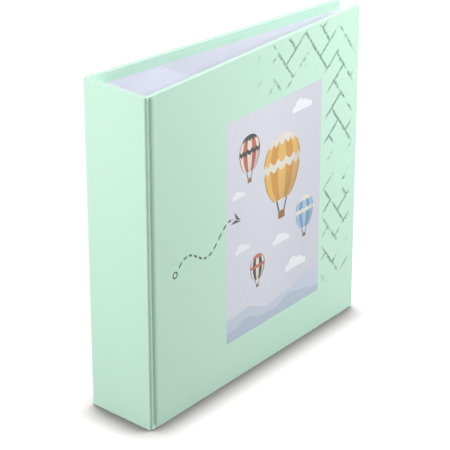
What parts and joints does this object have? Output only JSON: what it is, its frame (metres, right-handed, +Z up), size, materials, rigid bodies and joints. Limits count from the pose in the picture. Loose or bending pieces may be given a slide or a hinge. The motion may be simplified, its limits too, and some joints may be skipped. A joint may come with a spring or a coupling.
{
  "type": "slip-in album",
  "caption": "Hard-case slip-in album standing on its tail: wrapped boards with grooved hinges, glued guard block and turning leaves with clear pockets.",
  "frame": {"origin": "middle of the box that the closed album fills, on the surface it stands on", "axes": "+X from the spine to the fore-edge, +Y from the front cover to the back cover, +Z up from the tail edge to the head"},
  "size_m": [0.2218, 0.053, 0.225],
  "materials": {
    "printed_wrap": "satin",
    "greyboard": "matte",
    "endpaper": "matte",
    "leaf_card": "matte",
    "pocket_film": "gloss",
    "mull": "matte"
  },
  "bodies": {
    "spine": {"spine_board": "greyboard", "spine_wrap": "printed_wrap", "spine_liner": "endpaper", "block_mull": "mull", "leaf_stubs": "leaf_card", "guard_strips": "leaf_card", "front_groove": "printed_wrap", "back_groove": "printed_wrap", "front_endpaper_fold": "endpaper", "back_endpaper_fold": "endpaper"},
    "front_cover": {"front_board": "greyboard", "front_wrap": "printed_wrap", "front_pastedown": "endpaper"},
    "back_cover": {"back_board": "greyboard", "back_wrap": "printed_wrap", "back_pastedown": "endpaper"},
    "front_flyleaf": {"front_flyleaf": "endpaper"},
    "leaf_01": {"leaf_01": "leaf_card"},
    "leaf_02": {"leaf_02": "leaf_card"},
    "leaf_03": {"leaf_03": "leaf_card"},
    "leaf_04": {"leaf_04": "leaf_card"},
    "leaf_05": {"leaf_05": "leaf_card"},
    "leaf_06": {"leaf_06": "leaf_card"},
    "leaf_07": {"leaf_07": "leaf_card"},
    "leaf_08": {"leaf_08": "leaf_card"},
    "leaf_09": {"leaf_09": "leaf_card"},
    "leaf_10": {"leaf_10": "leaf_card"},
    "leaf_11": {"leaf_11": "leaf_card"},
    "leaf_12": {"leaf_12": "leaf_card"},
    "leaf_13": {"leaf_13": "leaf_card"},
    "leaf_14": {"leaf_14": "leaf_card"},
    "leaf_15": {"leaf_15": "leaf_card"},
    "leaf_16": {"leaf_16": "leaf_card"},
    "leaf_17": {"leaf_17": "leaf_card"},
    "leaf_18": {"leaf_18": "leaf_card"},
    "leaf_19": {"leaf_19": "leaf_card"},
    "leaf_20": {"leaf_20": "leaf_card"},
    "leaf_21": {"leaf_21": "leaf_card"},
    "leaf_22": {"leaf_22": "leaf_card"},
    "leaf_23": {"leaf_23": "leaf_card"},
    "leaf_24": {"leaf_24": "leaf_card"},
    "leaf_25": {"leaf_25": "leaf_card"},
    "leaf_26": {"leaf_26": "leaf_card"},
    "leaf_27": {"leaf_27": "leaf_card"},
    "leaf_28": {"leaf_28": "leaf_card"},
    "leaf_29": {"leaf_29": "leaf_card"},
    "leaf_30": {"leaf_30": "leaf_card"},
    "leaf_31": {"leaf_31": "leaf_card"},
    "leaf_32": {"leaf_32": "leaf_card"},
    "leaf_33": {"leaf_33": "leaf_card"},
    "leaf_34": {"leaf_34": "leaf_card"},
    "leaf_35": {"leaf_35": "leaf_card"},
    "leaf_36": {"leaf_36": "leaf_card"},
    "leaf_37": {"leaf_37": "leaf_card"},
    "leaf_38": {"leaf_38": "leaf_card"},
    "leaf_39": {"leaf_39": "leaf_card"},
    "leaf_40": {"leaf_40": "leaf_card"},
    "leaf_41": {"leaf_41": "leaf_card"},
    "leaf_42": {"leaf_42": "leaf_card"},
    "back_flyleaf": {"back_flyleaf": "endpaper"}
  },
  "joints": [
    {"name": "front_cover_hinge", "type": "hinge", "parent": "spine", "child": "front_cover", "pos_m": [-0.10694, -0.0255, 0.1125], "axis": [0, 0, -1], "range_deg": [0, 180], "deforming": ["front_groove", "front_endpaper_fold"]},
    {"name": "back_cover_hinge", "type": "hinge", "parent": "spine", "child": "back_cover", "pos_m": [-0.10694, 0.0255, 0.1125], "axis": [0, 0, 1], "range_deg": [0, 180], "deforming": ["back_groove", "back_endpaper_fold"]},
    {"name": "front_flyleaf_crease", "type": "hinge", "parent": "spine", "child": "front_flyleaf", "pos_m": [-0.09409, -0.02225, 0.1125], "axis": [0, 0, -1], "range_deg": [0, 72]},
    {"name": "leaf_01_crease", "type": "hinge", "parent": "spine", "child": "leaf_01", "pos_m": [-0.09409, -0.02121, 0.1125], "axis": [0, 0, -1], "range_deg": [0, 69.71]},
    {"name": "leaf_02_crease", "type": "hinge", "parent": "spine", "child": "leaf_02", "pos_m": [-0.09409, -0.02018, 0.1125], "axis": [0, 0, -1], "range_deg": [0, 67.43]},
    {"name": "leaf_03_crease", "type": "hinge", "parent": "spine", "child": "leaf_03", "pos_m": [-0.09409, -0.01914, 0.1125], "axis": [0, 0, -1], "range_deg": [0, 65.14]},
    {"name": "leaf_04_crease", "type": "hinge", "parent": "spine", "child": "leaf_04", "pos_m": [-0.09409, -0.01811, 0.1125], "axis": [0, 0, -1], "range_deg": [0, 62.86]},
    {"name": "leaf_05_crease", "type": "hinge", "parent": "spine", "child": "leaf_05", "pos_m": [-0.09409, -0.01707, 0.1125], "axis": [0, 0, -1], "range_deg": [0, 60.57]},
    {"name": "leaf_06_crease", "type": "hinge", "parent": "spine", "child": "leaf_06", "pos_m": [-0.09409, -0.01604, 0.1125], "axis": [0, 0, -1], "range_deg": [0, 58.29]},
    {"name": "leaf_07_crease", "type": "hinge", "parent": "spine", "child": "leaf_07", "pos_m": [-0.09409, -0.015, 0.1125], "axis": [0, 0, -1], "range_deg": [0, 56]},
    {"name": "leaf_08_crease", "type": "hinge", "parent": "spine", "child": "leaf_08", "pos_m": [-0.09409, -0.01397, 0.1125], "axis": [0, 0, -1], "range_deg": [0, 53.71]},
    {"name": "leaf_09_crease", "type": "hinge", "parent": "spine", "child": "leaf_09", "pos_m": [-0.09409, -0.01293, 0.1125], "axis": [0, 0, -1], "range_deg": [0, 51.43]},
    {"name": "leaf_10_crease", "type": "hinge", "parent": "spine", "child": "leaf_10", "pos_m": [-0.09409, -0.0119, 0.1125], "axis": [0, 0, -1], "range_deg": [0, 49.14]},
    {"name": "leaf_11_crease", "type": "hinge", "parent": "spine", "child": "leaf_11", "pos_m": [-0.09409, -0.01086, 0.1125], "axis": [0, 0, -1], "range_deg": [0, 46.86]},
    {"name": "leaf_12_crease", "type": "hinge", "parent": "spine", "child": "leaf_12", "pos_m": [-0.09409, -0.00983, 0.1125], "axis": [0, 0, -1], "range_deg": [0, 44.57]},
    {"name": "leaf_13_crease", "type": "hinge", "parent": "spine", "child": "leaf_13", "pos_m": [-0.09409, -0.0088, 0.1125], "axis": [0, 0, -1], "range_deg": [0, 42.29]},
    {"name": "leaf_14_crease", "type": "hinge", "parent": "spine", "child": "leaf_14", "pos_m": [-0.09409, -0.00776, 0.1125], "axis": [0, 0, -1], "range_deg": [0, 40]},
    {"name": "leaf_15_crease", "type": "hinge", "parent": "spine", "child": "leaf_15", "pos_m": [-0.09409, -0.00673, 0.1125], "axis": [0, 0, -1], "range_deg": [0, 37.71]},
    {"name": "leaf_16_crease", "type": "hinge", "parent": "spine", "child": "leaf_16", "pos_m": [-0.09409, -0.00569, 0.1125], "axis": [0, 0, -1], "range_deg": [0, 35.43]},
    {"name": "leaf_17_crease", "type": "hinge", "parent": "spine", "child": "leaf_17", "pos_m": [-0.09409, -0.00466, 0.1125], "axis": [0, 0, -1], "range_deg": [0, 33.14]},
    {"name": "leaf_18_crease", "type": "hinge", "parent": "spine", "child": "leaf_18", "pos_m": [-0.09409, -0.00362, 0.1125], "axis": [0, 0, -1], "range_deg": [0, 30.86]},
    {"name": "leaf_19_crease", "type": "hinge", "parent": "spine", "child": "leaf_19", "pos_m": [-0.09409, -0.00259, 0.1125], "axis": [0, 0, -1], "range_deg": [0, 28.57]},
    {"name": "leaf_20_crease", "type": "hinge", "parent": "spine", "child": "leaf_20", "pos_m": [-0.09409, -0.00155, 0.1125], "axis": [0, 0, -1], "range_deg": [0, 26.29]},
    {"name": "leaf_21_crease", "type": "hinge", "parent": "spine", "child": "leaf_21", "pos_m": [-0.09409, -0.00052, 0.1125], "axis": [0, 0, -1], "range_deg": [0, 24]},
    {"name": "leaf_22_crease", "type": "hinge", "parent": "spine", "child": "leaf_22", "pos_m": [-0.09409, 0.00052, 0.1125], "axis": [0, 0, 1], "range_deg": [0, 24]},
    {"name": "leaf_23_crease", "type": "hinge", "parent": "spine", "child": "leaf_23", "pos_m": [-0.09409, 0.00155, 0.1125], "axis": [0, 0, 1], "range_deg": [0, 26.29]},
    {"name": "leaf_24_crease", "type": "hinge", "parent": "spine", "child": "leaf_24", "pos_m": [-0.09409, 0.00259, 0.1125], "axis": [0, 0, 1], "range_deg": [0, 28.57]},
    {"name": "leaf_25_crease", "type": "hinge", "parent": "spine", "child": "leaf_25", "pos_m": [-0.09409, 0.00362, 0.1125], "axis": [0, 0, 1], "range_deg": [0, 30.86]},
    {"name": "leaf_26_crease", "type": "hinge", "parent": "spine", "child": "leaf_26", "pos_m": [-0.09409, 0.00466, 0.1125], "axis": [0, 0, 1], "range_deg": [0, 33.14]},
    {"name": "leaf_27_crease", "type": "hinge", "parent": "spine", "child": "leaf_27", "pos_m": [-0.09409, 0.00569, 0.1125], "axis": [0, 0, 1], "range_deg": [0, 35.43]},
    {"name": "leaf_28_crease", "type": "hinge", "parent": "spine", "child": "leaf_28", "pos_m": [-0.09409, 0.00673, 0.1125], "axis": [0, 0, 1], "range_deg": [0, 37.71]},
    {"name": "leaf_29_crease", "type": "hinge", "parent": "spine", "child": "leaf_29", "pos_m": [-0.09409, 0.00776, 0.1125], "axis": [0, 0, 1], "range_deg": [0, 40]},
    {"name": "leaf_30_crease", "type": "hinge", "parent": "spine", "child": "leaf_30", "pos_m": [-0.09409, 0.0088, 0.1125], "axis": [0, 0, 1], "range_deg": [0, 42.29]},
    {"name": "leaf_31_crease", "type": "hinge", "parent": "spine", "child": "leaf_31", "pos_m": [-0.09409, 0.00983, 0.1125], "axis": [0, 0, 1], "range_deg": [0, 44.57]},
    {"name": "leaf_32_crease", "type": "hinge", "parent": "spine", "child": "leaf_32", "pos_m": [-0.09409, 0.01086, 0.1125], "axis": [0, 0, 1], "range_deg": [0, 46.86]},
    {"name": "leaf_33_crease", "type": "hinge", "parent": "spine", "child": "leaf_33", "pos_m": [-0.09409, 0.0119, 0.1125], "axis": [0, 0, 1], "range_deg": [0, 49.14]},
    {"name": "leaf_34_crease", "type": "hinge", "parent": "spine", "child": "leaf_34", "pos_m": [-0.09409, 0.01293, 0.1125], "axis": [0, 0, 1], "range_deg": [0, 51.43]},
    {"name": "leaf_35_crease", "type": "hinge", "parent": "spine", "child": "leaf_35", "pos_m": [-0.09409, 0.01397, 0.1125], "axis": [0, 0, 1], "range_deg": [0, 53.71]},
    {"name": "leaf_36_crease", "type": "hinge", "parent": "spine", "child": "leaf_36", "pos_m": [-0.09409, 0.015, 0.1125], "axis": [0, 0, 1], "range_deg": [0, 56]},
    {"name": "leaf_37_crease", "type": "hinge", "parent": "spine", "child": "leaf_37", "pos_m": [-0.09409, 0.01604, 0.1125], "axis": [0, 0, 1], "range_deg": [0, 58.29]},
    {"name": "leaf_38_crease", "type": "hinge", "parent": "spine", "child": "leaf_38", "pos_m": [-0.09409, 0.01707, 0.1125], "axis": [0, 0, 1], "range_deg": [0, 60.57]},
    {"name": "leaf_39_crease", "type": "hinge", "parent": "spine", "child": "leaf_39", "pos_m": [-0.09409, 0.01811, 0.1125], "axis": [0, 0, 1], "range_deg": [0, 62.86]},
    {"name": "leaf_40_crease", "type": "hinge", "parent": "spine", "child": "leaf_40", "pos_m": [-0.09409, 0.01914, 0.1125], "axis": [0, 0, 1], "range_deg": [0, 65.14]},
    {"name": "leaf_41_crease", "type": "hinge", "parent": "spine", "child": "leaf_41", "pos_m": [-0.09409, 0.02018, 0.1125], "axis": [0, 0, 1], "range_deg": [0, 67.43]},
    {"name": "leaf_42_crease", "type": "hinge", "parent": "spine", "child": "leaf_42", "pos_m": [-0.09409, 0.02121, 0.1125], "axis": [0, 0, 1], "range_deg": [0, 69.71]},
    {"name": "back_flyleaf_crease", "type": "hinge", "parent": "spine", "child": "back_flyleaf", "pos_m": [-0.09409, 0.02225, 0.1125], "axis": [0, 0, 1], "range_deg": [0, 72]}
  ],
  "couplings": [
    {"joint": "front_flyleaf_crease", "follows": "front_cover_hinge", "ratio": 0.4},
    {"joint": "leaf_01_crease", "follows": "front_cover_hinge", "ratio": 0.3873},
    {"joint": "leaf_02_crease", "follows": "front_cover_hinge", "ratio": 0.3746},
    {"joint": "leaf_03_crease", "follows": "front_cover_hinge", "ratio": 0.3619},
    {"joint": "leaf_04_crease", "follows": "front_cover_hinge", "ratio": 0.34921},
    {"joint": "leaf_05_crease", "follows": "front_cover_hinge", "ratio": 0.33651},
    {"joint": "leaf_06_crease", "follows": "front_cover_hinge", "ratio": 0.32381},
    {"joint": "leaf_07_crease", "follows": "front_cover_hinge", "ratio": 0.31111},
    {"joint": "leaf_08_crease", "follows": "front_cover_hinge", "ratio": 0.29841},
    {"joint": "leaf_09_crease", "follows": "front_cover_hinge", "ratio": 0.28571},
    {"joint": "leaf_10_crease", "follows": "front_cover_hinge", "ratio": 0.27302},
    {"joint": "leaf_11_crease", "follows": "front_cover_hinge", "ratio": 0.26032},
    {"joint": "leaf_12_crease", "follows": "front_cover_hinge", "ratio": 0.24762},
    {"joint": "leaf_13_crease", "follows": "front_cover_hinge", "ratio": 0.23492},
    {"joint": "leaf_14_crease", "follows": "front_cover_hinge", "ratio": 0.22222},
    {"joint": "leaf_15_crease", "follows": "front_cover_hinge", "ratio": 0.20952},
    {"joint": "leaf_16_crease", "follows": "front_cover_hinge", "ratio": 0.19682},
    {"joint": "leaf_17_crease", "follows": "front_cover_hinge", "ratio": 0.18413},
    {"joint": "leaf_18_crease", "follows": "front_cover_hinge", "ratio": 0.17143},
    {"joint": "leaf_19_crease", "follows": "front_cover_hinge", "ratio": 0.15873},
    {"joint": "leaf_20_crease", "follows": "front_cover_hinge", "ratio": 0.14603},
    {"joint": "leaf_21_crease", "follows": "front_cover_hinge", "ratio": 0.13333},
    {"joint": "leaf_22_crease", "follows": "back_cover_hinge", "ratio": 0.13333},
    {"joint": "leaf_23_crease", "follows": "back_cover_hinge", "ratio": 0.14603},
    {"joint": "leaf_24_crease", "follows": "back_cover_hinge", "ratio": 0.15873},
    {"joint": "leaf_25_crease", "follows": "back_cover_hinge", "ratio": 0.17143},
    {"joint": "leaf_26_crease", "follows": "back_cover_hinge", "ratio": 0.18413},
    {"joint": "leaf_27_crease", "follows": "back_cover_hinge", "ratio": 0.19682},
    {"joint": "leaf_28_crease", "follows": "back_cover_hinge", "ratio": 0.20952},
    {"joint": "leaf_29_crease", "follows": "back_cover_hinge", "ratio": 0.22222},
    {"joint": "leaf_30_crease", "follows": "back_cover_hinge", "ratio": 0.23492},
    {"joint": "leaf_31_crease", "follows": "back_cover_hinge", "ratio": 0.24762},
    {"joint": "leaf_32_crease", "follows": "back_cover_hinge", "ratio": 0.26032},
    {"joint": "leaf_33_crease", "follows": "back_cover_hinge", "ratio": 0.27302},
    {"joint": "leaf_34_crease", "follows": "back_cover_hinge", "ratio": 0.28571},
    {"joint": "leaf_35_crease", "follows": "back_cover_hinge", "ratio": 0.29841},
    {"joint": "leaf_36_crease", "follows": "back_cover_hinge", "ratio": 0.31111},
    {"joint": "leaf_37_crease", "follows": "back_cover_hinge", "ratio": 0.32381},
    {"joint": "leaf_38_crease", "follows": "back_cover_hinge", "ratio": 0.33651},
    {"joint": "leaf_39_crease", "follows": "back_cover_hinge", "ratio": 0.34921},
    {"joint": "leaf_40_crease", "follows": "back_cover_hinge", "ratio": 0.3619},
    {"joint": "leaf_41_crease", "follows": "back_cover_hinge", "ratio": 0.3746},
    {"joint": "leaf_42_crease", "follows": "back_cover_hinge", "ratio": 0.3873},
    {"joint": "back_flyleaf_crease", "follows": "back_cover_hinge", "ratio": 0.4}
  ]
}
